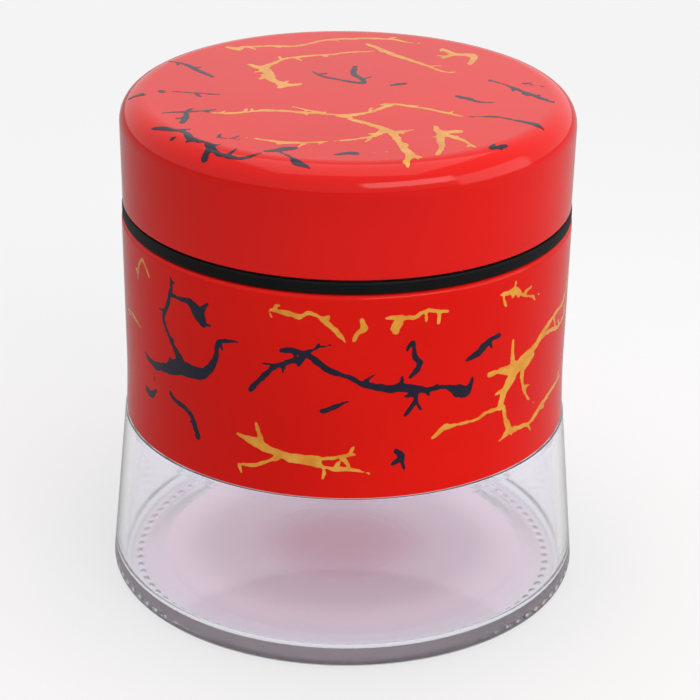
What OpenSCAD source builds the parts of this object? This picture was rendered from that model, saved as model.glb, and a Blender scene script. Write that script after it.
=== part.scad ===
// Round storage jar: a flared glass body, a lacquered sleeve of thin sheet round its waist, a rubber ring
// on its shoulder and a lacquered quick-turn lid. Z is up, and the origin is the centre of the foot.
// Every piece is a lathe profile: a list of [radius, height, corner rounding].

/* [Body] */
// Outside diameter of the sleeve at its waist
body_d = 99.8; // [84:0.2:120]
// Height of the glass ledge that the sleeve stands on
ledge_h = 40.2; // [32:0.2:60]
// Length of the sleeve
sleeve_l = 47.2; // [36:0.2:70]
// Sheet thickness of the sleeve
sleeve_wall = 0.4; // [0.3:0.05:0.6]
// How far the sleeve opens, in radius, from its waist to its top
sleeve_top_flare = 0.4; // [0.1:0.05:1]
// How far the sleeve opens, in radius, from its waist to its lower edge
sleeve_foot_flare = 0.35; // [0.1:0.05:1]
// Height of the waist above the ledge
waist_rise = 10; // [7:0.5:14]
// Rounding of the sleeve's rolled-in top edge
sleeve_roll = 1.2; // [0.8:0.1:1.6]

/* [Glass] */
// How far the glass ledge stands proud of the sleeve's lower edge, in radius
ledge_proud = 0.25; // [0.1:0.05:0.6]
// How far the glass opens, in radius, from the ledge down to the table
foot_flare = 3.8; // [2:0.1:7]
// Rounding of the heel
heel_round = 2.6; // [1.6:0.1:5]
// Glass wall
glass_wall = 2.6; // [2.2:0.1:3.4]
// Glass under the floor, above the push-up
glass_base = 2.8; // [2.4:0.1:5]
// Rounding where the wall meets the floor
floor_round = 2.2; // [1:0.2:8]
// Depth of the push-up under the base
push_up = 0.8; // [0.5:0.1:1.6]
// Width of the ring that the jar stands on
bearing_w = 4.6; // [3:0.2:7]
// Diameter of the mould's centre mark in the push-up
centre_mark_d = 30; // [20:1:40]
// Depth of the centre mark
centre_mark_depth = 0.4; // [0.2:0.1:0.8]
// Width of the slope round the centre mark
centre_mark_slope = 4; // [1:0.5:6]
// Rounding of the glass shoulder
shoulder_round = 2; // [1.6:0.1:3]

/* [Neck and thread] */
// Glass wall of the neck
neck_wall = 3.2; // [2.6:0.1:4]
// Rounding of the rim
rim_round = 1; // [0.6:0.1:1.2]
// Thread starts, one rib of glass and one lug of the lid each
starts = 4; // [4:1:6]
// How far a thread rib stands out from the neck
rib_h = 1.5; // [1.2:0.1:2]
// Thickness of a thread rib at its root
rib_root = 2.2; // [1.8:0.1:2.8]
// Thickness of a thread rib at its crest
rib_crest = 1.3; // [1:0.1:1.6]
// Part of a start's share of the neck that its rib fills
rib_share = 0.82; // [0.6:0.02:0.86]
// Distance from the rim down to the middle of a rib
rib_drop = 6.5; // [6:0.5:8]

/* [Neck ring] */
// Height of the rubber ring on the shoulder
ring_h = 2.8; // [2:0.1:4]
// How far the ring stands proud of the sleeve's waist, in radius
ring_proud = 0.25; // [0.1:0.05:0.6]
// Rounding of the ring's outer edges
ring_round = 0.5; // [0.2:0.1:0.8]

/* [Lid] */
// Outside height of the lid
lid_h = 24.2; // [22:0.2:32]
// How far the lid's lower edge stands proud of the sleeve's waist, in radius
lid_proud = 0.1; // [0:0.05:0.5]
// How much wider the lid is at its top than at its lower edge, in radius
lid_draft = 0.35; // [0:0.05:0.6]
// Sheet thickness of the lid
lid_wall = 0.45; // [0.35:0.05:0.6]
// Rounding of the lid's top edge
lid_round = 5.8; // [4:0.1:8]
// Height of the hem folded in at the lid's lower edge
hem_h = 2.2; // [1.8:0.1:3]
// Gap inside the fold of the hem
hem_gap = 0.2; // [0.1:0.05:0.3]

/* [Insert and seal] */
// Wall of the moulded insert's skirt
insert_wall = 1.5; // [1.2:0.1:2]
// Thickness of the insert's disc
insert_disc = 1.6; // [1.2:0.1:2.2]
// Thickness of a lug at its tip
lug_tip = 1.2; // [0.8:0.1:1.6]
// Thickness of a lug at its root
lug_root = 1.9; // [1.4:0.1:2.2]
// Angle that a lug covers
lug_angle = 26; // [16:1:34]
// Depth of the plug that centres the lid in the mouth
plug_h = 4; // [2.5:0.1:6]
// Wall of the plug
plug_wall = 1.4; // [1:0.1:2]
// Radial ribs that hold up the lid's top
crown_ribs = 12; // [8:2:18]
// Thickness of the crown ribs
crown_rib_w = 1.2; // [0.8:0.1:1.6]
// Radius of the hub where the crown ribs meet
hub_r = 9; // [6:1:14]
// Thickness of the seal ring
seal_t = 1.6; // [1.2:0.1:2.4]
// How far the seal ring reaches over the bead that holds it in the lid
bead_grip = 0.5; // [0.3:0.1:0.8]

/* [Clearances] */
// Between the sleeve and the glass inside it
sleeve_gap = 0.15; // [0.1:0.05:0.3]
// Between the neck ring and the neck
ring_gap = 0.15; // [0.1:0.05:0.3]
// Between the neck ring's bore and the edge of the sleeve's rolled-in top
flange_gap = 1; // [0.4:0.1:2]
// Between the lid's lower edge and the neck ring
lid_gap = 0.3; // [0.2:0.05:0.5]
// Between the lid's sheet and the insert
insert_gap = 0.1; // [0.05:0.05:0.2]
// Between the flanks of the rib and the lug, above and below the lug
flank_gap = 0.3; // [0.2:0.05:0.5]
// Between the ribs' crests and the insert's skirt
crest_gap = 0.7; // [0.4:0.1:1]
// Between the lugs' tips and the neck
tip_gap = 0.4; // [0.3:0.05:0.6]
// Between the plug and the mouth
plug_gap = 1.1; // [0.6:0.1:1.6]
// Round the seal ring in its channel
seal_gap = 0.4; // [0.3:0.05:0.6]
// Between the insert's disc and the height at which the lid starts to round over
crown_gap = 0.7; // [0.2:0.1:2]

/* [Hidden] */
$fn = 180;
RED = "#d8261c";
BLACK = "#17171a";
GLASS = [0.86, 0.9, 0.92, 0.45];
IVORY = "#ece8dc";
SILICONE = "#dfe3e6";
// A long, barely bent stretch of the outline is eased by this radius
EASE = 200;
// Rounding of a moulded edge
MOULDED = 0.3;
// Easing of the slope round the centre mark
MARK_EASE = 5;
// Where a sphere or a cutter has to reach past what it cuts
PAST = 1;

// Sleeve
waist_r = body_d / 2;
waist_z = ledge_h + waist_rise;
sleeve_z = ledge_h + sleeve_l;
sleeve_top_r = waist_r + sleeve_top_flare;
sleeve_foot_r = waist_r + sleeve_foot_flare;
sleeve_inset = sleeve_wall + sleeve_gap;

// Lid, from its outside in
lid_z = sleeve_z + ring_h + lid_gap;
lid_top = lid_z + lid_h;
lid_r = waist_r + lid_proud;
lid_top_r = lid_r + lid_draft;
hem_w = 2 * lid_wall + hem_gap;
insert_r = lid_r - lid_wall - insert_gap;
insert_z = lid_z + hem_h;
bore_r = insert_r - insert_wall;

// Neck, which leaves room for the ribs inside the insert's skirt
neck_r = bore_r - crest_gap - rib_h;
mouth_r = neck_r - neck_wall;
shoulder_z = sleeve_z - sleeve_wall;

// Disc, seal and rim, stacked down from the lid's rounding
disc_top = lid_top - lid_round - crown_gap;
disc_z = disc_top - insert_disc;
rim_z = disc_z - seal_t;
plug_r = mouth_r - plug_gap;
plug_z = disc_z - plug_h;
seal_r = bore_r - seal_gap;
bead_r = seal_r - bead_grip;
bead_z = rim_z - flank_gap;
bead_h = 4 * MOULDED;

// Thread: the lug fills the space between two turns of rib but for the flank gaps
pitch = rib_root + lug_tip + 2 * flank_gap;
lead = starts * pitch;
rib_z = rim_z - rib_drop;
rib_half = 180 / starts * rib_share;
lug_z = rib_z - pitch / 2;
// Each rib is trimmed by a cylinder off the jar's axis, so that it fades into the neck at both ends, some
// degrees before the ends of the stretch that it is cut from
fade_shift = 10;
fade_past = 4;
fade_r = sqrt(neck_r ^ 2 + fade_shift ^ 2 - 2 * neck_r * fade_shift * cos(rib_half));

// Glass
ledge_r = sleeve_foot_r + ledge_proud;
foot_r = ledge_r + foot_flare;
floor_z = push_up + glass_base;
bearing_r = foot_r - heel_round - bearing_w;
push_up_run = 1.5;
shoulder_slope_z = shoulder_z - glass_wall;
shoulder_slope_h = 5;

function xy(p) = [p[0], p[1]];
function unit(v) = v / norm(v);
function turn(a, b) = a[0] * b[1] - a[1] * b[0];
// The two points where a rounding of radius p[2] leaves the sides of corner p
function tangents(q, p, n) =
    let (a = unit(xy(q) - xy(p)), b = unit(xy(n) - xy(p)),
         half = acos(max(-1, min(1, a * b))) / 2)
    p[2] > 0 ? [xy(p) + a * p[2] / tan(half), xy(p) + b * p[2] / tan(half)] : [xy(p)];
function centre(q, p, n) =
    let (a = unit(xy(q) - xy(p)), b = unit(xy(n) - xy(p)),
         half = acos(max(-1, min(1, a * b))) / 2)
    xy(p) + unit(a + b) * p[2] / sin(half);

// Half section whose corners are true arcs. The points run counter-clockwise.
module rounded(points) {
    n = len(points);
    function before(i) = points[(i + n - 1) % n];
    function after(i) = points[(i + 1) % n];
    function convex(i) = turn(xy(points[i]) - xy(before(i)), xy(after(i)) - xy(points[i])) > 0;
    module segment(i) {
        t = tangents(before(i), points[i], after(i));
        intersection() {
            polygon(convex(i) ? [t[0], xy(points[i]), t[1]] : [t[1], xy(points[i]), t[0]]);
            translate(centre(before(i), points[i], after(i))) circle(points[i][2]);
        }
    }
    difference() {
        union() {
            polygon([for (i = [0:n - 1]) each tangents(before(i), points[i], after(i))]);
            for (i = [0:n - 1]) if (points[i][2] > 0 && convex(i)) segment(i);
        }
        for (i = [0:n - 1]) if (points[i][2] > 0 && !convex(i)) segment(i);
    }
}

module lathe(points) {
    rotate_extrude() rounded(points);
}

// A stretch of thread round +X: a flat ring, tilted about its middle to the thread's lead.
// root_r is at the wall that carries it and tip_r at its free edge.
module thread_arc(root_r, root, tip_r, tip, half, z) {
    tilt = atan(lead / (2 * PI * (root_r + tip_r) / 2));
    inward = tip_r < root_r;
    section = [[root_r, -root / 2], [tip_r, -tip / 2], [tip_r, tip / 2], [root_r, root / 2]];
    translate([0, 0, z]) rotate([tilt, 0, 0]) rotate([0, 0, -half])
        rotate_extrude(angle = 2 * half)
            polygon(inward ? [for (i = [3:-1:0]) section[i]] : section);
}

module each_start() {
    for (i = [0:starts - 1]) rotate([0, 0, i * 360 / starts]) children();
}

// One rib of glass. Its root is set into the neck wall so that the two are one piece.
module neck_rib() {
    bury = neck_wall / 2;
    taper = (rib_root - rib_crest) / rib_h;
    intersection() {
        thread_arc(neck_r - bury, rib_root + bury * taper, neck_r + rib_h, rib_crest,
                   rib_half + fade_past, rib_z);
        translate([fade_shift, 0, rib_z - pitch]) cylinder(r = fade_r, h = 2 * pitch);
    }
}

// Body glass: flared foot, ledge, waist behind the sleeve, shoulder and threaded neck
module glass_jar() {
    ledge_in_r = sleeve_foot_r - sleeve_inset;
    top_in_r = sleeve_top_r - sleeve_inset;
    color(GLASS) {
        lathe([
            [0, push_up + centre_mark_depth, 0],
            [centre_mark_d / 2, push_up + centre_mark_depth, MARK_EASE],
            [centre_mark_d / 2 + centre_mark_slope, push_up, MARK_EASE],
            [bearing_r - push_up_run, push_up, MOULDED],
            [bearing_r, 0, MOULDED],
            [foot_r, 0, heel_round],
            [ledge_r, ledge_h, MOULDED],
            [ledge_in_r, ledge_h, 0],
            [waist_r - sleeve_inset, waist_z, EASE],
            [top_in_r, shoulder_z, shoulder_round],
            [neck_r, shoulder_z, MOULDED],
            [neck_r, rim_z, rim_round],
            [mouth_r, rim_z, rim_round],
            [mouth_r, shoulder_slope_z, glass_wall],
            [top_in_r - glass_wall, shoulder_slope_z - shoulder_slope_h, glass_wall],
            [waist_r - sleeve_inset - glass_wall, waist_z, EASE],
            [ledge_r - glass_wall, ledge_h, EASE],
            [foot_r - glass_wall - foot_flare * floor_z / ledge_h, floor_z, floor_round],
            [0, floor_z, 0],
        ]);
        each_start() neck_rib();
    }
}

// Sleeve of thin sheet: plain lower edge on the ledge, top edge rolled in over the shoulder
module body_sleeve() {
    flange_r = neck_r + ring_gap + flange_gap;
    color(RED) lathe([
        [sleeve_foot_r - sleeve_wall, ledge_h, 0],
        [sleeve_foot_r, ledge_h, sleeve_wall / 4],
        [waist_r, waist_z, EASE],
        [sleeve_top_r, sleeve_z, sleeve_roll],
        [flange_r, sleeve_z, 0],
        [flange_r, shoulder_z, 0],
        [sleeve_top_r - sleeve_wall, shoulder_z, sleeve_roll - sleeve_wall],
        [waist_r - sleeve_wall, waist_z, EASE],
    ]);
}

// Rubber ring stretched over the neck: it holds the sleeve down and cushions the lid
module neck_ring() {
    ring_r = waist_r + ring_proud;
    color(BLACK) lathe([
        [neck_r + ring_gap, sleeve_z, 0],
        [ring_r, sleeve_z, ring_round],
        [ring_r, sleeve_z + ring_h, ring_round],
        [neck_r + ring_gap, sleeve_z + ring_h, ring_round],
    ]);
}

// Pressed lid of thin sheet, with its lower edge folded in as a hem
module lid_shell() {
    color(RED) lathe([
        [0, lid_top - lid_wall, 0],
        [lid_top_r - lid_wall, lid_top - lid_wall, lid_round - lid_wall],
        [lid_r - lid_wall, lid_z + lid_wall, 0],
        [lid_r - lid_wall - hem_gap, lid_z + lid_wall, 0],
        [lid_r - lid_wall - hem_gap, insert_z, 0],
        [lid_r - hem_w, insert_z, 0],
        [lid_r - hem_w, lid_z, lid_wall],
        [lid_r, lid_z, lid_wall],
        [lid_top_r, lid_top, lid_round],
        [0, lid_top, 0],
    ]);
}

// Ribs on the insert's disc that carry the middle of the pressed top
module crown() {
    crown_r = lid_top_r - lid_round - PAST;
    crown_z = lid_top - lid_wall;
    difference() {
        union() {
            translate([0, 0, disc_top - PAST]) cylinder(r = hub_r, h = crown_z - disc_top + PAST);
            for (i = [0:crown_ribs - 1]) rotate([0, 0, i * 360 / crown_ribs])
                translate([hub_r - PAST, -crown_rib_w / 2, disc_top - PAST])
                    cube([crown_r - hub_r + PAST, crown_rib_w, crown_z - disc_top + PAST]);
        }
        translate([0, 0, disc_top]) cylinder(r = hub_r - crown_rib_w, h = crown_z - disc_top + PAST);
    }
}

// Moulded insert: skirt with lugs, seal channel with its bead, plug, disc and crown ribs
module lid_insert() {
    color(IVORY) {
        lathe([
            [0, disc_z, 0],
            [plug_r - plug_wall, disc_z, MOULDED],
            [plug_r - plug_wall, plug_z, MOULDED],
            [plug_r, plug_z, MOULDED],
            [plug_r, disc_z, 0],
            [bore_r, disc_z, 0],
            [bore_r, bead_z, 0],
            [bead_r, bead_z - MOULDED, MOULDED / 2],
            [bore_r, bead_z - bead_h, 0],
            [bore_r, insert_z, MOULDED],
            [insert_r, insert_z, MOULDED],
            [insert_r, disc_top, 2 * MOULDED],
            [0, disc_top, 0],
        ]);
        each_start() thread_arc(bore_r + insert_wall / 2, lug_root, neck_r + tip_gap, lug_tip,
                                lug_angle / 2, lug_z);
        crown();
    }
}

// Soft ring in the insert's channel, between the disc and the rim
module seal_ring() {
    color(SILICONE) lathe([
        [plug_r + seal_gap, rim_z, MOULDED],
        [seal_r, rim_z, MOULDED],
        [seal_r, rim_z + seal_t, MOULDED],
        [plug_r + seal_gap, rim_z + seal_t, MOULDED],
    ]);
}

glass_jar();
body_sleeve();
neck_ring();
lid_shell();
lid_insert();
seal_ring();
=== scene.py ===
import math

import bpy
import numpy as np
from mathutils import Matrix, Vector


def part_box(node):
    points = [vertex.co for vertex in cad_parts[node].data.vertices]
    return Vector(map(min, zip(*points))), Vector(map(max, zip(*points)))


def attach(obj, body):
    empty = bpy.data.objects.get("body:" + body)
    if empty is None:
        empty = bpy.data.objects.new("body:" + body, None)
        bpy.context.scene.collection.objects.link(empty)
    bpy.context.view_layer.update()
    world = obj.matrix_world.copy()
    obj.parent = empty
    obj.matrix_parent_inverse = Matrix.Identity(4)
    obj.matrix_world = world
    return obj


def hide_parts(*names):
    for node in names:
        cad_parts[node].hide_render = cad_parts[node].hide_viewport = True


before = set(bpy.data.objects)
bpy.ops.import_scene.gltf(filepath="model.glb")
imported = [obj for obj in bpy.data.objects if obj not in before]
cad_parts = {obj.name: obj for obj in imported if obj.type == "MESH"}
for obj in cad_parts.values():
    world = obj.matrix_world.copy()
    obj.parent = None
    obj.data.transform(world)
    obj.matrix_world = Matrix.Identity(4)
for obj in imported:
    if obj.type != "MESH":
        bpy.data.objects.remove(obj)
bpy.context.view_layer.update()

MM = 0.001


# ---------------------------------------------------------------- sizes from the frame

def spans(node):
    """Largest radius, lowest height and highest height of a CAD node."""
    low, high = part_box(node)
    return high.x / MM, low.z / MM, high.z / MM


_, _, RIM_Z = spans("glass_jar")
_, LEDGE_Z, SLEEVE_Z = spans("body_sleeve")
RING_R, RING_Z, RING_TOP = spans("neck_ring")
_, LID_Z, LID_TOP = spans("lid_shell")
_, INSERT_Z, _ = spans("lid_insert")

# Walls and gaps of the real pieces
SHEET = 0.4
LID_SHEET = 0.45
SLEEVE_GAP = 0.15
RING_GAP = 0.15
LIP_GAP = 1.15
HEM_GAP = 0.2
GLASS_WALL = 2.6
NECK_WALL = 3.2
INK = 0.03

# Radii at the heights where the outline turns
WAIST_R = 49.9
WAIST_Z = LEDGE_Z + 10
SLEEVE_FOOT_R = 50.25
SLEEVE_TOP_R = 50.3
LEDGE_R = 50.5
HEEL_R = 54.29
HEEL_ROUND = 2.6
NECK_R = 45.75
MOUTH_R = NECK_R - NECK_WALL
SHOULDER_Z = SLEEVE_Z - SHEET
LID_R = 50.0
LID_TOP_R = 50.35
LID_ROUND = 5.8
LID_FACE_Z = LID_TOP - 2 * INK
FLOOR_Z = 3.6
FLOOR_ROUND = 2.2
PUSH_UP = 0.8
PUSH_UP_RUN = 5.0
BEARING_R = 47.1
DISH_R = 15.0
DISH_SLOPE = 4.0
DISH_DEPTH = 0.2


# ---------------------------------------------------------------- meshes

def guarded(a, b, guard=0.25):
    """Extra points near both ends of a straight stretch, so that shading stays flat between them."""
    length = math.dist(a, b)
    if length < 4 * guard:
        return []
    marks = [guard / length, 1 - guard / length]
    return [(a[0] + (b[0] - a[0]) * t, a[1] + (b[1] - a[1]) * t) for t in marks]


def corner_arc(before, corner, after, radius):
    """Points of the arc that rounds one corner of an outline."""
    p = Vector(corner)
    a = (Vector(before) - p).normalized()
    b = (Vector(after) - p).normalized()
    half = a.angle(b) / 2
    middle = p + (a + b).normalized() * radius / math.sin(half)
    start = p + a * radius / math.tan(half) - middle
    turn = math.pi - 2 * half
    steps = max(3, math.ceil(math.degrees(turn) / 10))
    side = 1 if a.x * b.y - a.y * b.x < 0 else -1
    spin = [Matrix.Rotation(side * turn * i / steps, 2) for i in range(steps + 1)]
    return [tuple(middle + m @ start) for m in spin]


def outline(corners):
    """Closed outline of a lathe piece from corners of [radius, height, rounding], counter-clockwise."""
    arcs = []
    for i, (r, z, rounding) in enumerate(corners):
        before = corners[i - 1][:2]
        after = corners[(i + 1) % len(corners)][:2]
        arcs.append(corner_arc(before, (r, z), after, rounding) if rounding else [(r, z)])
    points = []
    for i, arc in enumerate(arcs):
        points += arc
        nxt = arcs[(i + 1) % len(arcs)][0]
        if arc[-1][0] > 0 or nxt[0] > 0:
            points += guarded(arc[-1], nxt)
    return points


def with_rows(points, low, high, step):
    """The outline with extra rows, a step apart, on every stretch that lies in the box low-high."""
    near = 0.01
    out = []
    for i, a in enumerate(points):
        b = points[(i + 1) % len(points)]
        out.append(a)
        inside = all(low[k] - near <= v[k] <= high[k] + near for v in (a, b) for k in (0, 1))
        count = int(math.dist(a, b) / step) if inside else 0
        shares = [j / count for j in range(1, count)]
        out += [(a[0] + (b[0] - a[0]) * t, a[1] + (b[1] - a[1]) * t) for t in shares]
    return out


# An edge that turns by more degrees than this looks crisp.
SHARP = 32


def make_mesh(name, verts, faces):
    """A smooth-shaded mesh object, crisp at edges past the sharp angle, from corners in millimetres."""
    mesh = bpy.data.meshes.new(name)
    mesh.from_pydata((np.asarray(verts) * MM).tolist(), [], faces)
    mesh.validate()
    mesh.polygons.foreach_set("use_smooth", [True] * len(mesh.polygons))
    mesh.set_sharp_from_angle(angle=math.radians(SHARP))
    piece = bpy.data.objects.new(name, mesh)
    bpy.context.scene.collection.objects.link(piece)
    return piece


def lathe(name, points, turns, shape=None):
    """Turns a closed outline round the jar's axis. shape(r, z, angles) may push each ring out and up."""
    angles = np.linspace(0, 2 * math.pi, turns, endpoint=False)
    verts = []
    rings = []
    for r, z in points:
        if r <= 0:
            rings.append([len(verts)])
            verts.append((0, 0, z))
            continue
        out, up = shape(r, z, angles) if shape else (0, 0)
        rings.append(list(range(len(verts), len(verts) + turns)))
        verts += list(zip((r + out) * np.cos(angles), (r + out) * np.sin(angles), np.full(turns, z) + up))
    faces = []
    for i, lower in enumerate(rings):
        upper = rings[(i + 1) % len(rings)]
        if len(lower) == 1 and len(upper) == 1:
            continue
        for k in range(turns):
            n = (k + 1) % turns
            if len(lower) == 1:
                faces.append((lower[0], upper[n], upper[k]))
            elif len(upper) == 1:
                faces.append((lower[k], lower[n], upper[0]))
            else:
                faces.append((lower[k], lower[n], upper[n], upper[k]))
    return make_mesh(name, verts, faces)


# ---------------------------------------------------------------- materials

def linear(code):
    """Linear colour of an sRGB hex code."""
    values = [int(code[i:i + 2], 16) / 255 for i in (1, 3, 5)]
    return [v / 12.92 if v <= 0.04045 else ((v + 0.055) / 1.055) ** 2.4 for v in values] + [1]


def set_stops(elements, stops):
    """Gives a colour ramp its (position, hex colour) stops."""
    while len(elements) < len(stops):
        elements.new(0.5)
    for element, (place, code) in zip(elements, stops):
        element.position = place
        element.color = linear(code)


def add(tree, kind, settings=None, **links):
    """Adds a node, sets its properties, sockets and colour stops, and links its inputs from other nodes or
    their outputs. An input is linked by its name, with _ for a space, or by _ and its number."""
    node = tree.nodes.new(kind)
    for key, value in (settings or {}).items():
        if key == "stops":
            set_stops(node.color_ramp.elements, value)
        elif isinstance(key, int) or key in node.inputs:
            node.inputs[key].default_value = value
        else:
            setattr(node, key, value)
    for key, source in links.items():
        name = int(key[1:]) if key[0] == "_" else key.replace("_", " ")
        output = source.outputs[0] if isinstance(source, bpy.types.Node) else source
        tree.links.new(output, node.inputs[name])
    return node


def new_material(name):
    """A material with an empty node tree, and that tree."""
    material = bpy.data.materials.new(name)
    material.use_nodes = True
    material.node_tree.nodes.clear()
    return material, material.node_tree


def lumps(size_mm, detail=3, roughness=0.5):
    """Settings of a noise whose lumps are about size_mm across."""
    return {"Scale": 1 / (size_mm * MM), "Detail": detail, "Roughness": roughness}


def lacquer(name, deep, bright, gloss, bounce=None):
    """Glossy baked lacquer on thin steel sheet, sprayed: an even colour under a wet-looking gloss that is
    very slightly rippled, as sprayed coats are. Where bounce is given, shadow rays pass in that dim colour,
    which stands for the light that is thrown about inside a closed red sleeve."""
    cloud_mm, ripple_mm, ripple_height = 45, 6, 0.02
    material, tree = new_material(name)
    metres = add(tree, "ShaderNodeTexCoord").outputs["Object"]
    clouds = add(tree, "ShaderNodeTexNoise", lumps(cloud_mm, detail=1), Vector=metres)
    shade = add(tree, "ShaderNodeValToRGB", {"stops": [(0.35, deep), (0.65, bright)]}, Fac=clouds)
    ripples = add(tree, "ShaderNodeTexNoise", lumps(ripple_mm, detail=1), Vector=metres)
    relief = add(tree, "ShaderNodeBump", {"Strength": 0.12, "Distance": ripple_height * MM}, Height=ripples)
    settings = {"Roughness": 0.1, "Specular IOR Level": gloss}
    shader = add(tree, "ShaderNodeBsdfPrincipled", settings, Base_Color=shade, Normal=relief)
    if bounce:
        path = add(tree, "ShaderNodeLightPath").outputs
        dim = add(tree, "ShaderNodeBsdfTransparent", {"Color": linear(bounce)})
        shader = add(tree, "ShaderNodeMixShader", Fac=path["Is Shadow Ray"], _1=shader, _2=dim)
    add(tree, "ShaderNodeOutputMaterial", Surface=shader)
    return material


def printing_ink(name, stops, patch_mm):
    """Transfer print under the gloss: ink that lies thick and thin in patches, with the lacquer's shine."""
    material, tree = new_material(name)
    metres = add(tree, "ShaderNodeTexCoord").outputs["Object"]
    patches = add(tree, "ShaderNodeTexNoise", lumps(patch_mm, detail=4, roughness=0.6), Vector=metres)
    shade = add(tree, "ShaderNodeValToRGB", {"stops": stops}, Fac=patches)
    settings = {"Roughness": 0.16, "Specular IOR Level": 0.3}
    shader = add(tree, "ShaderNodeBsdfPrincipled", settings, Base_Color=shade)
    add(tree, "ShaderNodeOutputMaterial", Surface=shader)
    return material


def pressed_glass(name, roughness):
    """Clear soda-lime glass, machine pressed: hardly any colour of its own, a gloss a little softer than cut
    glass has, and very slow waves left by the mould, which bend what is seen through it. Stippled glass is
    the same with a rougher face, which scatters the light."""
    wave_mm, wave_height = 14, 0.04
    material, tree = new_material(name)
    metres = add(tree, "ShaderNodeTexCoord").outputs["Object"]
    waves = add(tree, "ShaderNodeTexNoise", lumps(wave_mm, detail=1), Vector=metres)
    relief = add(tree, "ShaderNodeBump", {"Strength": 0.1, "Distance": wave_height * MM}, Height=waves)
    settings = {"Base Color": linear("#FBFBFF"), "Roughness": roughness, "IOR": 1.52,
                "Transmission Weight": 1.0}
    shader = add(tree, "ShaderNodeBsdfPrincipled", settings, Normal=relief)
    clear = add(tree, "ShaderNodeBsdfTransparent", {"Color": linear("#F3F3F7")})
    path = add(tree, "ShaderNodeLightPath").outputs
    bounced = add(tree, "ShaderNodeMixShader", Fac=path["Is Diffuse Ray"], _1=shader, _2=clear)
    lit = add(tree, "ShaderNodeMixShader", Fac=path["Is Shadow Ray"], _1=bounced, _2=clear)
    add(tree, "ShaderNodeOutputMaterial", Surface=lit)
    return material


def moulded(name, low, high, roughness, grain_mm, relief, gloss=0.4):
    """Moulded rubber or plastic: a low gloss over a fine even grain, with a little change of shade."""
    shade_mm = 9
    material, tree = new_material(name)
    metres = add(tree, "ShaderNodeTexCoord").outputs["Object"]
    fine = add(tree, "ShaderNodeTexNoise", lumps(grain_mm), Vector=metres)
    bump = add(tree, "ShaderNodeBump", {"Strength": 0.4, "Distance": relief * MM}, Height=fine)
    patches = add(tree, "ShaderNodeTexNoise", lumps(shade_mm, detail=2), Vector=metres)
    shade = add(tree, "ShaderNodeValToRGB", {"stops": [(0.3, low), (0.7, high)]}, Fac=patches)
    settings = {"Roughness": roughness, "Specular IOR Level": gloss}
    shader = add(tree, "ShaderNodeBsdfPrincipled", settings, Base_Color=shade, Normal=bump)
    add(tree, "ShaderNodeOutputMaterial", Surface=shader)
    return material


# Gloss red lacquer, baked on steel sheet. The sleeve's stands upright and mirrors less than the lid's, and
# its colour is a touch lighter, which is painted light that brightens the sleeve.
LID_LACQUER = lacquer("red_baked_lacquer", "#E40B02", "#EC0F03", 0.27)
SLEEVE_LACQUER = lacquer("red_baked_lacquer_on_sleeve", "#E40F03", "#EC1304", 0.15, bounce="#E88898")
# Thin pale coat inside the sleeve and on its cut edge: matt, with a faint pink that is painted light, red
# light thrown on it by the red about it.
INSIDE_COAT = moulded("pale_inner_coat", "#F2C4CA", "#F6CCD2", 0.5, 0.8, 0.01)
# Transfer inks: a blue-black that turns red where it lies thin, and a warm gold that lightens where thick.
BLACK_INK = printing_ink("black_transfer_ink", [(0.3, "#141124"), (0.6, "#1B1732"), (0.8, "#341424")], 3)
GOLD_INK = printing_ink("gold_transfer_ink", [(0.3, "#E08A24"), (0.5, "#EB9F36"), (0.7, "#F3B24A")], 4)
# Pressed glass: smooth where the plunger and mould left it, stippled under the base.
JAR_GLASS = pressed_glass("clear_pressed_glass", 0.05)
STIPPLED_GLASS = pressed_glass("stippled_pressed_glass", 0.25)
# Moulded rubber: a deep satin black with a fine grain.
RING_RUBBER = moulded("black_moulded_rubber", "#060607", "#0B0B0D", 0.5, 0.5, 0.02, 0.12)
# Injection moulded polypropylene: a waxy ivory.
INSERT_PLASTIC = moulded("ivory_moulded_polypropylene", "#E8E3D6", "#EFEBE0", 0.38, 0.8, 0.015)
# Moulded silicone: a soft clear grey.
SEAL_SILICONE = moulded("clear_grey_silicone", "#D4D8DB", "#E0E4E6", 0.5, 0.6, 0.02)


def finish_with(piece, material):
    """Gives a whole piece one material."""
    piece.data.materials.clear()
    piece.data.materials.append(material)


# ---------------------------------------------------------------- glass body

# Quick-turn thread: its starts and lead, a rib's height and its widths at root and crest, half the angle
# a rib spans, the angle over which it fades, its middle height, and the band of rings that climb with it.
THREAD = {"starts": 4, "lead": 16.0, "height": 1.5, "root": 2.2, "crest": 1.3, "half": 36.9, "fade": 12.0,
          "middle": RIM_Z - 6.5, "band": 4.0}
FLANK = (THREAD["root"] - THREAD["crest"]) / 2
FLANK_STEPS = 4
ON_NECK = 0.01

# Raised marks on the ring that the jar stands on, between two radii. A cosine runs once from mark to mark: a
# mark stands where it is above the ridge, and the hollow is at full depth where it has dropped by the fall.
# The edge is how far a hollow takes to deepen from either radius, and nothing above the reach is moved.
MARKS = 88
KNURL = {"Marks": float(MARKS), "Depth": 0.3 * MM, "Inner Radius": 47.3 * MM, "Outer Radius": 48.5 * MM,
         "Edge": 0.4 * MM, "Ridge": 0.4, "Fall": 0.4, "Reach": 0.5 * MM}
# Rows on the bearing ring, how far above the push-up the stipple goes, and steps round the glass.
BEARING_STEP = 0.4
STIPPLE_REACH = 0.5
GLASS_TURNS = 6 * MARKS


def eased(share):
    """A share from 0 to 1, softened at both ends."""
    share = np.clip(share, 0, 1)
    return share * share * (3 - 2 * share)


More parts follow.
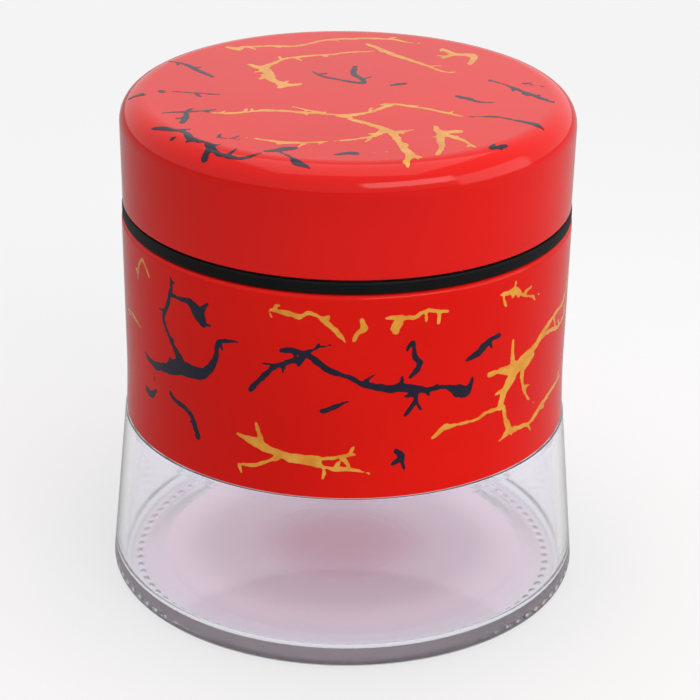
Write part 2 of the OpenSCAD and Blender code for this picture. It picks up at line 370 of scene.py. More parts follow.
def thread_ribs(r, z, angles):
    """How far the neck's rings are pushed out and up at each angle: four ribs that fade into the neck. The
    rings near a rib climb with it, and come down again between two ribs."""
    away = abs(z - THREAD["middle"])
    if abs(r - NECK_R) > ON_NECK or away > THREAD["band"]:
        return 0, 0
    share = 360 / THREAD["starts"]
    half = THREAD["half"]
    around = (np.degrees(angles) + share / 2) % share - share / 2
    beside = np.clip((share / 2 - np.abs(around)) / (share / 2 - half), 0, 1)
    near = np.clip((THREAD["band"] - away) / (THREAD["band"] - THREAD["root"] / 2), 0, 1)
    climb = THREAD["lead"] / 360 * np.clip(around, -half, half) * beside * near
    rise = eased((THREAD["root"] / 2 - away) / FLANK)
    return THREAD["height"] * rise * eased((half - np.abs(around)) / THREAD["fade"]), climb


def thread_rows():
    """Outline corners on the neck at the heights where the ribs' section turns."""
    beside = [THREAD["crest"] / 2 + FLANK * k / FLANK_STEPS for k in range(FLANK_STEPS + 1)]
    away = [-THREAD["band"]] + [-d for d in reversed(beside)] + beside + [THREAD["band"]]
    return [(NECK_R, THREAD["middle"] + d, 0) for d in away]


def glass_outline():
    """Outline of the glass: under the base, up the outside, over the rim and down the inside."""
    inset = SHEET + SLEEVE_GAP
    slope_z = SHOULDER_Z - GLASS_WALL
    floor_r = HEEL_R - GLASS_WALL - (HEEL_R - LEDGE_R) * FLOOR_Z / LEDGE_Z
    corners = [
        (0, PUSH_UP + DISH_DEPTH, 0),
        (DISH_R, PUSH_UP + DISH_DEPTH, 5),
        (DISH_R + DISH_SLOPE, PUSH_UP, 5),
        (BEARING_R - PUSH_UP_RUN, PUSH_UP, 4),
        (BEARING_R, 0, 0.6),
        (HEEL_R, 0, HEEL_ROUND),
        (LEDGE_R, LEDGE_Z, 0.3),
        (SLEEVE_FOOT_R - inset, LEDGE_Z, 0.2),
        (WAIST_R - inset, WAIST_Z, 200),
        (SLEEVE_TOP_R - inset, SHOULDER_Z, 2),
        (NECK_R, SHOULDER_Z, 0.3),
        *thread_rows(),
        (NECK_R, RIM_Z, 1),
        (MOUTH_R, RIM_Z, 1),
        (MOUTH_R, slope_z, 3),
        (SLEEVE_TOP_R - inset - GLASS_WALL, slope_z - 5, 3),
        (WAIST_R - inset - GLASS_WALL, WAIST_Z, 200),
        (LEDGE_R - GLASS_WALL, LEDGE_Z, 200),
        (floor_r, FLOOR_Z, FLOOR_ROUND),
        (0, FLOOR_Z, 0),
    ]
    return with_rows(outline(corners), (BEARING_R, 0), (HEEL_R - HEEL_ROUND, 0), BEARING_STEP)


def knurl_tree(material):
    """Geometry Nodes: hollows the ring that the jar stands on between short raised marks."""
    tree = bpy.data.node_groups.new("bearing_knurl", "GeometryNodeTree")
    tree.interface.new_socket("Geometry", in_out="INPUT", socket_type="NodeSocketGeometry")
    for name in KNURL:
        tree.interface.new_socket(name, in_out="INPUT", socket_type="NodeSocketFloat")
    tree.interface.new_socket("Geometry", in_out="OUTPUT", socket_type="NodeSocketGeometry")
    given = add(tree, "NodeGroupInput").outputs
    place = add(tree, "GeometryNodeInputPosition")
    x, y, z = add(tree, "ShaderNodeSeparateXYZ", Vector=place).outputs
    level = add(tree, "ShaderNodeCombineXYZ", X=x, Y=y)
    radius = add(tree, "ShaderNodeVectorMath", {"operation": "LENGTH"}, _0=level).outputs["Value"]
    angle = add(tree, "ShaderNodeMath", {"operation": "ARCTAN2"}, _0=y, _1=x)
    turned = add(tree, "ShaderNodeMath", {"operation": "MULTIPLY"}, _0=angle, _1=given["Marks"])
    wave = add(tree, "ShaderNodeMath", {"operation": "COSINE"}, _0=turned)
    foot = add(tree, "ShaderNodeMath", {"operation": "SUBTRACT"}, _0=given["Ridge"], _1=given["Fall"])
    start = add(tree, "ShaderNodeMath", {"operation": "ADD"}, _0=given["Inner Radius"], _1=given["Edge"])
    end = add(tree, "ShaderNodeMath", {"operation": "SUBTRACT"}, _0=given["Outer Radius"], _1=given["Edge"])
    below = add(tree, "ShaderNodeMath", {"operation": "LESS_THAN"}, _0=z, _1=given["Reach"])
    lift = add(tree, "ShaderNodeMath", {"operation": "MULTIPLY"}, _0=below, _1=given["Depth"])
    for value, none, full in ((wave, given["Ridge"], foot), (radius, given["Inner Radius"], start),
                              (radius, given["Outer Radius"], end)):
        share = add(tree, "ShaderNodeMapRange", {"interpolation_type": "SMOOTHSTEP"}, Value=value,
                    From_Min=none, From_Max=full)
        lift = add(tree, "ShaderNodeMath", {"operation": "MULTIPLY"}, _0=lift, _1=share)
    offset = add(tree, "ShaderNodeCombineXYZ", Z=lift)
    moved = add(tree, "GeometryNodeSetPosition", Geometry=given["Geometry"], Offset=offset)
    real = add(tree, "GeometryNodeRealizeInstances", Geometry=moved)
    dressed = add(tree, "GeometryNodeSetMaterial", {"Material": material}, Geometry=real)
    add(tree, "NodeGroupOutput", Geometry=dressed)
    return tree


def applied(piece, tree, values):
    """Runs a Geometry Nodes tree on a piece, keeps the result as its mesh and takes the modifier off."""
    modifier = piece.modifiers.new(tree.name, "NODES")
    modifier.node_group = tree
    for item in tree.interface.items_tree:
        if item.item_type == "SOCKET" and item.in_out == "INPUT" and item.name in values:
            modifier[item.identifier] = values[item.name]
    bpy.context.view_layer.update()
    depsgraph = bpy.context.evaluated_depsgraph_get()
    mesh = bpy.data.meshes.new_from_object(piece.evaluated_get(depsgraph))
    piece.modifiers.remove(modifier)
    old = piece.data
    piece.data = mesh
    bpy.data.meshes.remove(old)


glass = lathe("glass_body", glass_outline(), GLASS_TURNS, thread_ribs)
finish_with(glass, JAR_GLASS)
applied(glass, knurl_tree(JAR_GLASS), KNURL)
glass.data.set_sharp_from_angle(angle=math.radians(SHARP))
glass.data.materials.append(STIPPLED_GLASS)
for face in glass.data.polygons:
    middle = face.center / MM
    if middle.z < PUSH_UP + STIPPLE_REACH and middle.xy.length < HEEL_R - HEEL_ROUND:
        face.material_index = 1


# ---------------------------------------------------------------- sleeve, ring and lid

# Corners of [radius, height, rounding], counter-clockwise. The sleeve's waist is drawn in by a long arc.
CUT_EDGE = 0.28
SLEEVE_CORNERS = [
    (SLEEVE_FOOT_R - SHEET, LEDGE_Z, 0.08),
    (SLEEVE_FOOT_R, LEDGE_Z, CUT_EDGE),
    (WAIST_R, WAIST_Z, 200),
    (SLEEVE_TOP_R, SLEEVE_Z, 1.2),
    (NECK_R + LIP_GAP, SLEEVE_Z, 0),
    (NECK_R + LIP_GAP, SHOULDER_Z, 0),
    (SLEEVE_TOP_R - SHEET, SHOULDER_Z, 0.8),
    (WAIST_R - SHEET, WAIST_Z, 200),
]
RING_CORNERS = [
    (NECK_R + RING_GAP, RING_Z, 0.3),
    (RING_R, RING_Z, 0.5),
    (RING_R, RING_TOP, 0.5),
    (NECK_R + RING_GAP, RING_TOP, 0.5),
]
HEM_R = LID_R - 2 * LID_SHEET - HEM_GAP
LID_CORNERS = [
    (0, LID_FACE_Z - LID_SHEET, 0),
    (LID_TOP_R - LID_SHEET, LID_FACE_Z - LID_SHEET, LID_ROUND - LID_SHEET),
    (LID_R - LID_SHEET, LID_Z + LID_SHEET, 0.09),
    (LID_R - LID_SHEET - HEM_GAP, LID_Z + LID_SHEET, 0.09),
    (LID_R - LID_SHEET - HEM_GAP, INSERT_Z, 0.15),
    (HEM_R, INSERT_Z, 0.15),
    (HEM_R, LID_Z, 0.45),
    (LID_R, LID_Z, 0.45),
    (LID_TOP_R, LID_FACE_Z, LID_ROUND),
    (0, LID_FACE_Z, 0),
]
SHEET_TURNS = 512
sleeve = lathe("lacquered_sleeve", outline(SLEEVE_CORNERS), SHEET_TURNS)
ring = lathe("rubber_shoulder_ring", outline(RING_CORNERS), SHEET_TURNS)
lid = lathe("lacquered_lid", outline(LID_CORNERS), SHEET_TURNS)
finish_with(sleeve, SLEEVE_LACQUER)
sleeve.data.materials.append(INSIDE_COAT)
for face in sleeve.data.polygons:
    inward = face.normal.xy.dot(face.center.xy) < 0
    if inward or face.center.z / MM < LEDGE_Z + CUT_EDGE:
        face.material_index = 1
finish_with(ring, RING_RUBBER)
finish_with(lid, LID_LACQUER)


# ---------------------------------------------------------------- printed veins

# Brush strokes of the print, each a path of (across, up, width). On the sleeve "across" is in degrees from
# the front and "up" is the height above the table. On the lid both are millimetres from its centre.
BLACK_ON_SLEEVE = [
    [(-48, 85, 0.5), (-47, 82, 0.9), (-49, 78, 0.9), (-51, 74, 0.8), (-49, 70, 0.8), (-47, 68, 1.1),
     (-45, 66, 2.4)],
    [(-61, 62, 0.5), (-56, 61, 1.5), (-50, 62, 2.4), (-45, 64, 3.8), (-41, 64, 3.3), (-37, 65, 2.4),
     (-35, 67, 1.9), (-33, 70, 1.2), (-32, 73, 0.9), (-29, 74, 0.9), (-26, 74, 0.7)],
    [(-48, 80, 0.6), (-44, 80, 0.8), (-41, 80, 1.5), (-38, 78, 2.8), (-37, 76, 1.4)],
    [(-35, 81, 0.5), (-38, 78, 2.3)],
    [(-57, 59, 0.5), (-56, 56, 0.5)],
    [(-61, 54, 1.1), (-58, 53, 1.5), (-55, 55, 0.6)],
    [(-50, 58, 0.5), (-48, 56, 0.9), (-44, 55, 1), (-41, 53, 1.3), (-39, 49, 1.7)],
    [(-15, 74, 0.9), (-9, 74, 1.3), (-3, 70, 1.1), (3, 68, 1), (6, 67, 1.5), (13, 66, 1.8), (20, 65, 1.1),
     (24, 65, 0.9), (27, 64, 1.9), (29, 63, 3), (31, 63, 1.9), (33, 66, 0.4)],
    [(-10, 74, 1), (-7, 75, 0.6), (-3, 76, 0.5)],
    [(-10, 73, 1), (-15, 71, 0.9), (-19, 68, 1), (-23, 64, 1.3)],
    [(-14, 71, 0.6), (-20, 70, 0.7)],
    [(-5, 61, 1.2), (-2, 62, 1.1), (1, 63, 0.7)],
    [(16, 77, 0.4), (17, 73, 0.9), (18, 71, 1.1), (16, 68, 0.8)],
    [(18, 64, 0.5), (17, 62, 1), (15, 59, 0.8)],
    [(31, 70, 0.9), (34, 71, 1.7), (37, 73, 1.1), (41, 74, 0.9)],
    [(13, 51, 1.2), (14, 50, 1.4), (12, 48, 0.8)],
]
GOLD_ON_SLEEVE = [
    [(-19, 83, 0.5), (-15, 83, 0.8), (-11, 82, 0.9), (-8, 83, 0.7), (-5, 82, 0.8), (-2, 79, 0.9),
     (0, 76, 0.7)],
    [(-27, 53, 0.5), (-23, 52, 1.4), (-17, 50, 1.4), (-13, 49, 1.8), (-10, 49, 2), (-5, 48, 0.7),
     (-2, 47, 0.9), (2, 47, 0.7), (6, 46, 0.4)],
    [(-22, 56, 0.4), (-21, 53, 0.9), (-20, 51, 1)],
    [(-27, 46, 0.4), (-22, 46, 0.8), (-18, 48, 0.7), (-14, 49, 0.9)],
    [(-10, 49, 0.8), (-7, 50, 0.7), (-1, 50, 0.6), (3, 51, 0.4)],
    [(4, 82, 1.2), (5, 80, 1.4), (3, 79, 0.8), (2, 77, 1)],
    [(8, 82, 0.5), (11, 82, 0.8), (16, 82, 0.8), (19, 83, 0.7), (25, 82, 0.4)],
    [(13, 82, 1.2), (12, 79, 1.4)],
    [(40, 83, 0.4), (43, 83, 0.8), (46, 83, 1.2), (49, 81, 0.6), (56, 79, 0.4)],
    [(46, 85, 0.4), (45, 82, 1)],
    [(82, 78, 0.8), (74, 72, 0.9), (66, 71, 0.9), (59, 69, 1.4), (56, 67, 1.5), (52, 66, 1.8),
     (47, 64, 2.5), (45, 62, 2.1), (43, 59, 1.3), (42, 56, 1.4)],
    [(82, 69, 0.7), (70, 67, 0.8), (64, 68, 0.7), (59, 68, 0.8)],
    [(38, 65, 1), (42, 65, 1.3), (46, 64, 2.4)],
    [(46, 71, 0.5), (46, 68, 0.9), (46, 65, 1.2)],
    [(54, 65, 1.4), (50, 63, 1), (50, 60, 0.8), (52, 56, 0.6), (56, 53, 0.6)],
    [(42, 56, 1), (38, 56, 0.7), (34, 55, 0.6), (27, 55, 0.7), (25, 55, 1.1), (21, 53, 0.4)],
    [(43, 56, 1), (44, 53, 0.9), (46, 50, 1.5), (42, 48, 0.4)],
    [(46, 50, 1.4), (51, 49, 0.9), (55, 49, 0.9), (60, 51, 0.9), (66, 52, 0.8), (76, 53, 0.6)],
    [(-64, 78, 0.4), (-63, 82, 0.6), (-61, 84, 0.6), (-59, 83, 0.5), (-57, 81, 0.4)],
    [(-76, 67, 0.4), (-70, 68, 0.5), (-63, 67, 0.4)],
]
BLACK_ON_LID = [
    [(-41.5, 20, 0.7), (-37.5, 18, 1), (-33.5, 13, 1.2), (-30.5, 9, 0.8)],
    [(-41.5, -1, 0.5), (-33.5, -2, 0.5), (-25.5, -4, 0.5)],
    [(-47.5, -4, 0.9), (-44.5, -4, 0.9)],
    [(-39.5, -16, 0.5), (-34.5, -15, 0.8), (-27.5, -13, 0.5)],
    [(-34.5, -16, 1), (-34.5, -22, 1.2)],
    [(-41.5, -24, 0.4), (-38.5, -26, 0.8), (-34.5, -28, 0.8), (-32.5, -32, 1.5), (-29.5, -34, 0.4),
     (-28.5, -36, 1.5), (-26.5, -39, 0.7), (-23.5, -41, 0.5), (-20.5, -42, 0.5), (-17.5, -40, 0.4)],
    [(-40.5, -24, 0.5), (-37.5, -26, 1), (-35.5, -27, 0.4)],
    [(-32.5, -32, 1.2), (-33.5, -33, 0.6)],
    [(-28.5, -37, 1), (-29.5, -39, 1.3)],
    [(-17.5, -39, 0.4), (-14.5, -39, 1.4), (-12.5, -38, 2), (-10.5, -37, 1)],
    [(-14.5, -39, 0.6), (-11.5, -43, 0.6), (-10.5, -45, 1.5), (-7.5, -47, 0.4)],
    [(-36.5, -30, 0.8), (-35.5, -30, 0.5)],
    [(-27.5, -31, 0.5), (-21.5, -33, 0.5)],
    [(-8.5, 14, 0.5), (-5.5, 10, 0.7), (3.5, 6, 1), (1.5, 12, 1.5), (1.5, 18, 1)],
    [(9.5, 5, 0.8), (12.5, 6, 1.2)],
    [(23.5, -2, 0.8), (26.5, -4, 1.4), (28.5, -6, 0.8), (31.5, -6, 0.5)],
    [(31.5, 10, 0.5), (36.5, 4, 0.7), (40.5, -1, 1), (44.5, -5, 0.8)],
    [(38.5, 7, 0.5), (43.5, 5, 0.5)],
    [(25.5, -16, 0.5), (31.5, -16, 0.7), (36.5, -18, 0.8), (39.5, -20, 1.6), (41.5, -22, 0.6)],
    [(-2.5, -41, 1), (1.5, -40, 1.4)],
    [(29.5, -35, 1), (32.5, -33, 0.9)],
]
GOLD_ON_LID = [
    [(-28.5, 31, 0.8), (-25.5, 30, 1.7), (-23.5, 32, 0.9), (-12.5, 33, 0.9), (-6.5, 37, 0.8),
     (-1.5, 39, 1.1), (8.5, 39, 0.9), (16.5, 36, 0.5)],
    [(-22.5, 18, 0.9), (-19.5, 16, 2.1), (-16.5, 20, 1), (-12.5, 24, 0.8), (-0.5, 28, 0.8),
     (5.5, 30, 0.5)],
    [(-19.5, 16, 2.2), (-17.5, 12, 2.2), (-16.5, 7, 1.8), (-13.5, 4, 1.8), (-10.5, 5, 0.8)],
    [(-17.5, 12, 2), (-19.5, 8, 1)],
    [(-15.5, 2, 0.8), (-13.5, 4, 1.3)],
    [(4.5, 35, 0.9), (10.5, 27, 1.6), (14.5, 23, 1.1), (21.5, 15, 0.8), (24.5, 15, 0.5)],
    [(21.5, 32, 0.8), (24.5, 28, 1.5), (28.5, 27, 1.9), (27.5, 21, 0.9)],
    [(23.5, 28, 1.2), (21.5, 25, 0.8)],
    [(-30.5, -16, 0.5), (-24.5, -16, 0.9), (-20.5, -15, 0.6), (-16.5, -14, 1.2), (-8.5, -15, 0.9),
     (-3.5, -16, 0.9), (-0.5, -17, 2.2), (4.5, -14, 0.9), (9.5, -9, 1.2), (12.5, -9, 0.9), (21.5, -14, 1),
     (24.5, -16, 0.5)],
    [(-12.5, -11, 0.5), (-5.5, -15, 0.8)],
    [(7.5, -9, 0.8), (16.5, -9, 0.5)],
    [(0.5, -19, 0.9), (3.5, -21, 1.3), (8.5, -26, 1.9), (10.5, -33, 1.4), (12.5, -41, 1.7),
     (11.5, -45, 0.5)],
    [(12.5, -41, 1.2), (15.5, -42, 0.4)],
    [(7.5, -26, 1.7), (4.5, -30, 0.8), (-4.5, -33, 0.5), (-12.5, -34, 1), (-21.5, -31, 0.5)],
    [(9.5, -27, 1.4), (14.5, -25, 0.5)],
    [(18.5, -22, 0.8), (19.5, -26, 1.8), (23.5, -26, 1.4)],
    [(19.5, -26, 1.7), (19.5, -32, 1.4), (18.5, -40, 0.8)],
    [(19.5, -27, 1.6), (23.5, -31, 1.1), (26.5, -35, 0.5)],
    [(3.5, -40, 0.5), (8.5, -39, 0.5)],
]


def soft_path(points, parts=5):
    """A smooth curve through a stroke's points, as rows of across, up and width."""
    rows = np.array([points[0]] + list(points) + [points[-1]], float)
    out = []
    for i in range(1, len(rows) - 2):
        a, b, c, d = rows[i - 1:i + 3]
        for t in np.arange(parts) / parts:
            out.append(0.5 * (2 * b + (c - a) * t + (2 * a - 5 * b + 4 * c - d) * t ** 2
                              + (3 * b - a - 3 * c + d) * t ** 3))
    return np.array(out + [rows[-1]])


def grain(u, v, size, seed):
    """Smooth noise from -1 to 1 on two arrays of millimetres, with lumps of the given size."""
    cells = 512
    middle = 200
    table = np.random.default_rng(seed).uniform(-1, 1, (cells, cells))
    x = u / size + middle
    y = v / size + middle
    i = np.floor(x).astype(int)
    j = np.floor(y).astype(int)
    fx = x - i
    fy = y - j
    fx = fx * fx * (3 - 2 * fx)
    fy = fy * fy * (3 - 2 * fy)

    def at(di, dj):
        return table[(i + di) % cells, (j + dj) % cells]

    return (at(0, 0) * (1 - fx) + at(1, 0) * fx) * (1 - fy) + (at(0, 1) * (1 - fx) + at(1, 1) * fx) * fy


# Widths of the finest stroke and of a tip, and the thin side branches: how far apart they are, their widths
# (the root's as a share of the stroke's), their lengths, their slant in degrees and their bend in radians.
THINNEST = 0.55
TIP = 0.25
TWIG_SPACING = 8.0
TWIG_ROOT = 0.7
TWIG_WIDTH = 0.6
TWIG_TIP = 0.35
TWIG_LENGTH = (0.7, 1.8)
TWIG_DEGREES = (35, 75)
TWIG_BEND = (-0.6, 0.6)
SHORTEST = 0.3
# How far a stroke's line strays and how ragged its edge is, each with its lump size, and how far ink runs.
WANDER = ((0.45, 4.5), (0.12, 1.6))
RAGGED = ((0.15, 1.1), (0.06, 0.5))
SPREAD = 0.07


def twigs(strokes, seed):
    """Short thin side branches, about one for each length of spacing, which make a stroke look cracked."""
    chance = np.random.default_rng(seed)
    out = []
    for stroke in strokes:
        path = soft_path(stroke, 2)
        for a, b in zip(path[:-1], path[1:]):
            along = b[:2] - a[:2]
            length = float(np.hypot(*along))
            if length < SHORTEST or chance.random() > length / TWIG_SPACING:
                continue
            side = math.radians(chance.uniform(*TWIG_DEGREES)) * chance.choice((-1, 1))
            step = Matrix.Rotation(side, 2) @ Vector(along / length) * chance.uniform(*TWIG_LENGTH)
            bend = Matrix.Rotation(chance.uniform(*TWIG_BEND), 2) @ step
            knee = (a[0] + step.x, a[1] + step.y)
            tip = (knee[0] + bend.x, knee[1] + bend.y)
            out.append([(a[0], a[1], a[2] * TWIG_ROOT), (*knee, TWIG_WIDTH), (*tip, TWIG_TIP)])
    return out


def brushed(stroke):
    """A stroke that is nowhere too thin to print, but whose free ends run out to a tip."""
    free_width = 0.7
    last = len(stroke) - 1
    free = [k in (0, last) and w <= free_width for k, (u, v, w) in enumerate(stroke)]
    return [(u, v, TIP if tip else max(w, THINNEST)) for (u, v, w), tip in zip(stroke, free)]


def ink_field(strokes, cell, seed):
    """Grid over the strokes: its two axes, and how far inside the ink each grid point is, in millimetres."""
    margin = 3
    outside = -2.0
    nearby = 2.5
    deepest = -1.5
    border = -1
    full = [brushed(stroke) for stroke in strokes]
    paths = [soft_path(s) for s in full + twigs(full, seed + 6)]
    every = np.vstack(paths)
    low = every[:, :2].min(0) - margin
    top = every[:, :2].max(0) + margin
    u = np.arange(low[0], top[0], cell)
    v = np.arange(low[1], top[1], cell)
    grid_u, grid_v = np.meshgrid(u, v, indexing="ij")

    def layered(layers, first):
        """Layers of noise, one on the other, each with a seed of its own."""
        seeds = range(seed + first, seed + first + len(layers))
        return sum(high * grain(grid_u, grid_v, size, one) for (high, size), one in zip(layers, seeds))

    wander_u = grid_u + layered(WANDER, 0)
    wander_v = grid_v + layered(WANDER, 2)
    field = np.full(grid_u.shape, outside)
    for path in paths:
        for a, b in zip(path[:-1], path[1:]):
            reach = max(a[2], b[2]) / 2 + nearby
            i0, i1 = np.searchsorted(u, (min(a[0], b[0]) - reach, max(a[0], b[0]) + reach))
            j0, j1 = np.searchsorted(v, (min(a[1], b[1]) - reach, max(a[1], b[1]) + reach))
            pu = wander_u[i0:i1, j0:j1] - a[0]
            pv = wander_v[i0:i1, j0:j1] - a[1]
            du, dv = b[0] - a[0], b[1] - a[1]
            t = np.clip((pu * du + pv * dv) / max(du * du + dv * dv, 1e-9), 0, 1)
            inside = (a[2] + (b[2] - a[2]) * t) / 2 - np.hypot(pu - t * du, pv - t * dv)
            field[i0:i1, j0:j1] = np.maximum(field[i0:i1, j0:j1], inside)
    for _ in range(2):
        field = (np.roll(field, 1, 0) + 2 * field + np.roll(field, -1, 0)) / 4
        field = (np.roll(field, 1, 1) + 2 * field + np.roll(field, -1, 1)) / 4
    field = np.maximum(field, deepest) + layered(RAGGED, 4) + SPREAD
    field[[0, -1], :] = border
    field[:, [0, -1]] = border
    return u, v, field


def ink_slab(name, strokes, place, cell, seed):
    """Closed slab of ink: the strokes' field clipped at zero on a fine grid. place(u, v, lift) puts a point
    of the flat drawing on the piece, lifted off its skin."""
    u, v, field = ink_field(strokes, cell, seed)
    flat = []
    index = {}

    def grid_point(i, j):
        if (i, j) not in index:
            index[i, j] = len(flat)
            flat.append((u[i], v[j]))
        return index[i, j]

    def crossing(a, b):
        key = (a, b) if a < b else (b, a)
        if key not in index:
            (i0, j0), (i1, j1) = key
            t = field[i0, j0] / (field[i0, j0] - field[i1, j1])
            index[key] = len(flat)
            flat.append((u[i0] + (u[i1] - u[i0]) * t, v[j0] + (v[j1] - v[j0]) * t))
        return index[key]

    wet = field > 0
    busy = wet[:-1, :-1] | wet[1:, :-1] | wet[1:, 1:] | wet[:-1, 1:]
    tops = []
    for i, j in np.argwhere(busy):
        corners = [(i, j), (i + 1, j), (i + 1, j + 1), (i, j + 1)]
        face = []
        for k, here in enumerate(corners):
            after = corners[(k + 1) % 4]
            if wet[here]:
                face.append(grid_point(*here))
            if wet[here] != wet[after]:
                face.append(crossing(here, after))
        tops.append(face)
    sides = set()
    for face in tops:
        sides.update(zip(face, face[1:] + face[:1]))
    rim = [(a, b) for a, b in sides if (b, a) not in sides]
    count = len(flat)
    across, up = np.array(flat).T
    verts = np.vstack([place(across, up, INK), place(across, up, 0)])
    faces = tops + [[k + count for k in reversed(face)] for face in tops]
    faces += [[b, a, a + count, b + count] for a, b in rim]
    return make_mesh(name, verts, faces)


# The skin that is printed ends below the rounding at the sleeve's top. BEHIND is where the front's 0 degrees
# lies on the second copy.
SLEEVE_ROUND = 1.3
SLEEVE_OUTSIDE = [p for p in outline(SLEEVE_CORNERS) if p[0] >= WAIST_R - 0.01]
SLEEVE_SKIN = sorted((p for p in SLEEVE_OUTSIDE if p[1] < SLEEVE_Z - SLEEVE_ROUND), key=lambda p: p[1])
PER_DEGREE = math.pi * WAIST_R / 180
BEHIND = 184


def on_sleeve(arc, z, lift):
    """A point of the sleeve's print: arc is millimetres round from the front, to the right."""
    heights, radii = zip(*[(p[1], p[0]) for p in SLEEVE_SKIN])
    r = np.interp(z, heights, radii) + lift
    angle = arc / WAIST_R - math.pi / 2
    return np.stack([r * np.cos(angle), r * np.sin(angle), z], axis=1)


def on_lid(x, y, lift):
    """A point of the lid's print: flat on top, and following the rounding towards the edge."""
    r = np.hypot(x, y)
    flat_r = LID_TOP_R - LID_ROUND
    bend = np.arcsin(np.clip((r - flat_r) / LID_ROUND, 0, 0.98))
    out = np.where(r > flat_r, flat_r + (LID_ROUND + lift) * np.sin(bend), r)
    z = LID_FACE_Z - LID_ROUND + (LID_ROUND + lift) * np.cos(bend)
    scale = out / np.maximum(r, 1e-6)
    return np.stack([x * scale, y * scale, z], axis=1)


def round_the_sleeve(strokes):
    """The sleeve's strokes in millimetres, printed twice: once in front, and once behind, upside down."""
    middle = LEDGE_Z + SLEEVE_Z
    front = [[(a * PER_DEGREE, z, w) for a, z, w in s] for s in strokes]
    behind = [[((BEHIND - a) * PER_DEGREE, middle - z, w) for a, z, w in s] for s in strokes]
    return front + behind


# Grid step of the ink, fine enough for a clean edge, and each print's strokes, surface, ink, body and seed.
INK_CELL = 0.22
VEINS = [
    ("black_veins_sleeve", round_the_sleeve(BLACK_ON_SLEEVE), on_sleeve, BLACK_INK, "jar", 11),
    ("gold_veins_sleeve", round_the_sleeve(GOLD_ON_SLEEVE), on_sleeve, GOLD_INK, "jar", 23),
    ("black_veins_lid", BLACK_ON_LID, on_lid, BLACK_INK, "lid", 37),
    ("gold_veins_lid", GOLD_ON_LID, on_lid, GOLD_INK, "lid", 51),
]
for name, strokes, place, ink, body, seed in VEINS:
    veins = ink_slab(name, strokes, place, INK_CELL, seed)
    finish_with(veins, ink)
    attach(veins, body)


# ---------------------------------------------------------------- what rides where

for piece, body, node, slot in [
    (glass, "jar", "glass_jar", "jar_glass"),
    (sleeve, "jar", "body_sleeve", "sleeve_lacquer"),
    (ring, "jar", "neck_ring", "neck_rubber"),
    (lid, "lid", "lid_shell", "lid_lacquer"),
]:
    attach(piece, body)
    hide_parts(node)
finish_with(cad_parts["lid_insert"], INSERT_PLASTIC)
finish_with(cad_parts["seal_ring"], SEAL_SILICONE)


# ---------------------------------------------------------------- floor, light and camera

BACKGROUND = linear("#F4F4F4")


def floor_material():
    """Seamless white paper: it takes the jar's soft shadow and fades to the background's white. Under the
    jar a glow
    is painted on it: a pink ramp, darkest in the middle, which is painted shade under the jar and painted
    red light that the sleeve throws down. From below it can't be seen."""
    # Radius of the painted glow, and how far forward its middle is set, which paints it lighter at the
    # front, as painted light coming in there.
    painted_glow_r = 60 * MM
    painted_glow_forward = (0, -6 * MM, 0)
    sweep = {"interpolation_type": "SMOOTHSTEP", "From Min": 0.12, "From Max": 0.4}
    # Painted shade and painted red light under the jar: pink and darkest in the middle, grey towards the
    # glass's foot.
    stops = [(0.0, "#A04E62"), (0.2, "#A25A6C"), (0.38, "#B48C98"), (0.52, "#B8959F"), (0.66, "#D0B0B8"),
             (0.8, "#C4AEB4"), (0.9, "#B7B7B7")]
    material, tree = new_material("white_background_paper")
    paper = add(tree, "ShaderNodeBsdfDiffuse", {"Color": linear("#BCBCBC")})
    where = add(tree, "ShaderNodeNewGeometry").outputs
    moved = add(tree, "ShaderNodeVectorMath", {"operation": "ADD", 1: painted_glow_forward}, _0=where["Position"])
    front = add(tree, "ShaderNodeVectorMath", {"operation": "LENGTH"}, _0=moved).outputs["Value"]
    centred = add(tree, "ShaderNodeVectorMath", {"operation": "LENGTH"}, _0=where["Position"])
    middle = centred.outputs["Value"]
    larger = add(tree, "ShaderNodeMath", {"operation": "MAXIMUM"}, _0=front, _1=middle)
    share = add(tree, "ShaderNodeMath", {"operation": "MULTIPLY", 1: 1 / painted_glow_r}, _0=larger)
    shade = add(tree, "ShaderNodeValToRGB", {"stops": stops}, Fac=share)
    # The painted glow: the ramp of painted shade and red light given off by the paper itself.
    painted_glow = add(tree, "ShaderNodeEmission", {"Strength": 1.0}, Color=shade)
    both = add(tree, "ShaderNodeAddShader", _0=paper, _1=painted_glow)
    plain = add(tree, "ShaderNodeEmission", {"Color": BACKGROUND, "Strength": 1.0})
    away = add(tree, "ShaderNodeMapRange", sweep, Value=middle)
    swept = add(tree, "ShaderNodeMixShader", Fac=away, _1=both, _2=plain)
    path = add(tree, "ShaderNodeLightPath").outputs
    seen = add(tree, "ShaderNodeMath", {"operation": "MAXIMUM"}, _0=path["Is Camera Ray"],
               _1=path["Is Transmission Ray"])
    mixed = add(tree, "ShaderNodeMixShader", Fac=seen, _1=paper, _2=swept)
    unseen = add(tree, "ShaderNodeBsdfTransparent")
    sided = add(tree, "ShaderNodeMixShader", Fac=where["Backfacing"], _1=mixed, _2=unseen)
    add(tree, "ShaderNodeOutputMaterial", Surface=sided)
    return material


def make_floor():
    """A wide sheet just under the jar."""
    half = 3.0
    z = -0.05 * MM
    corners = [(-half, -half, z), (half, -half, z), (half, half, z), (-half, half, z)]
    mesh = bpy.data.meshes.new("paper_floor")
    mesh.from_pydata(corners, [], [(0, 1, 2, 3)])
    floor = bpy.data.objects.new("paper_floor", mesh)
    bpy.context.scene.collection.objects.link(floor)
    finish_with(floor, floor_material())


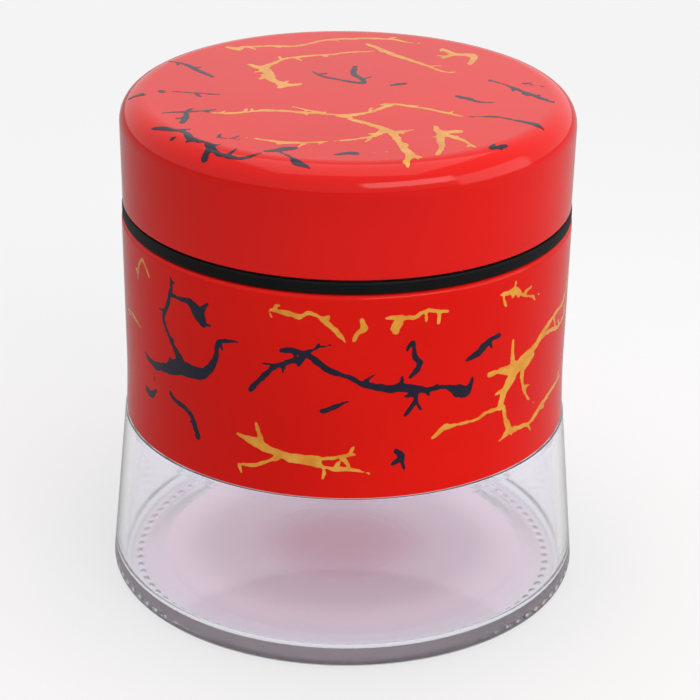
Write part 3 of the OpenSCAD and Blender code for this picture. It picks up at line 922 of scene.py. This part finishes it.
def make_world():
    """Even white surround. Direct looks, glass and gloss see the background's white."""
    world = bpy.data.worlds.new("white_surround")
    bpy.context.scene.world = world
    world.use_nodes = True
    tree = world.node_tree
    tree.nodes.clear()
    soft = add(tree, "ShaderNodeBackground", {"Color": linear("#F6F6F6"), "Strength": 0.52})
    plain = add(tree, "ShaderNodeBackground", {"Color": BACKGROUND, "Strength": 1.0})
    path = add(tree, "ShaderNodeLightPath").outputs
    mirrored = add(tree, "ShaderNodeMath", {"operation": "MAXIMUM"}, _0=path["Is Glossy Ray"],
                   _1=path["Is Transmission Ray"])
    seen = add(tree, "ShaderNodeMath", {"operation": "MAXIMUM"}, _0=path["Is Camera Ray"], _1=mirrored)
    mixed = add(tree, "ShaderNodeMixShader", Fac=seen, _1=soft, _2=plain)
    add(tree, "ShaderNodeOutputWorld", Surface=mixed)


def area_light(name, place, aim, size, watts):
    """A soft box at a place in metres, aimed at another."""
    light = bpy.data.lights.new(name, "AREA")
    light.shape = "RECTANGLE"
    light.size, light.size_y = size
    light.energy = watts
    lamp = bpy.data.objects.new(name, light)
    lamp.location = place
    lamp.rotation_euler = (Vector(aim) - Vector(place)).to_track_quat("-Z", "Y").to_euler()
    bpy.context.scene.collection.objects.link(lamp)


def make_camera():
    """Long lens, looking down at 24 degrees from the front, held a little askew."""
    target = Vector((0, 0, 51.9 * MM))
    distance = 551.1 * MM
    down = math.radians(24.46)
    roll = math.radians(0.78)
    aside = 0.17 * MM
    data = bpy.data.cameras.new("camera")
    data.lens = 123.2
    data.sensor_width = 36
    data.shift_x = 0.006
    data.shift_y = 0.0028
    camera = bpy.data.objects.new("camera", data)
    offset = Vector((0, -math.cos(down), math.sin(down))) * distance
    aim = (-offset).to_track_quat("-Z", "Y").to_matrix().to_4x4()
    camera.matrix_world = Matrix.Translation(target + offset) @ aim @ Matrix.Rotation(roll, 4, "Z")
    camera.location.x += aside
    bpy.context.scene.collection.objects.link(camera)
    bpy.context.scene.camera = camera


def pass_light_on():
    """Light is passed on often enough that the heel, where it runs round in thick glass, isn't black."""
    paths = bpy.context.scene.cycles
    paths.max_bounces = 24
    paths.transmission_bounces = 24
    paths.glossy_bounces = 8


make_floor()
make_world()
pass_light_on()
area_light("overhead_softbox", (0.0, 0.1, 1.25), (0, 0, 0.05), (1.2, 1.3), 6.6)
area_light("front_right_softbox", (0.6, -1.0, 0.72), (0, 0, 0.11), (1.0, 0.45), 5.4)
area_light("right_softbox", (1.2, -0.3, 0.3), (0, 0, 0.06), (1.0, 0.9), 4.2)
make_camera()
bpy.context.scene.view_settings.view_transform = "Standard"
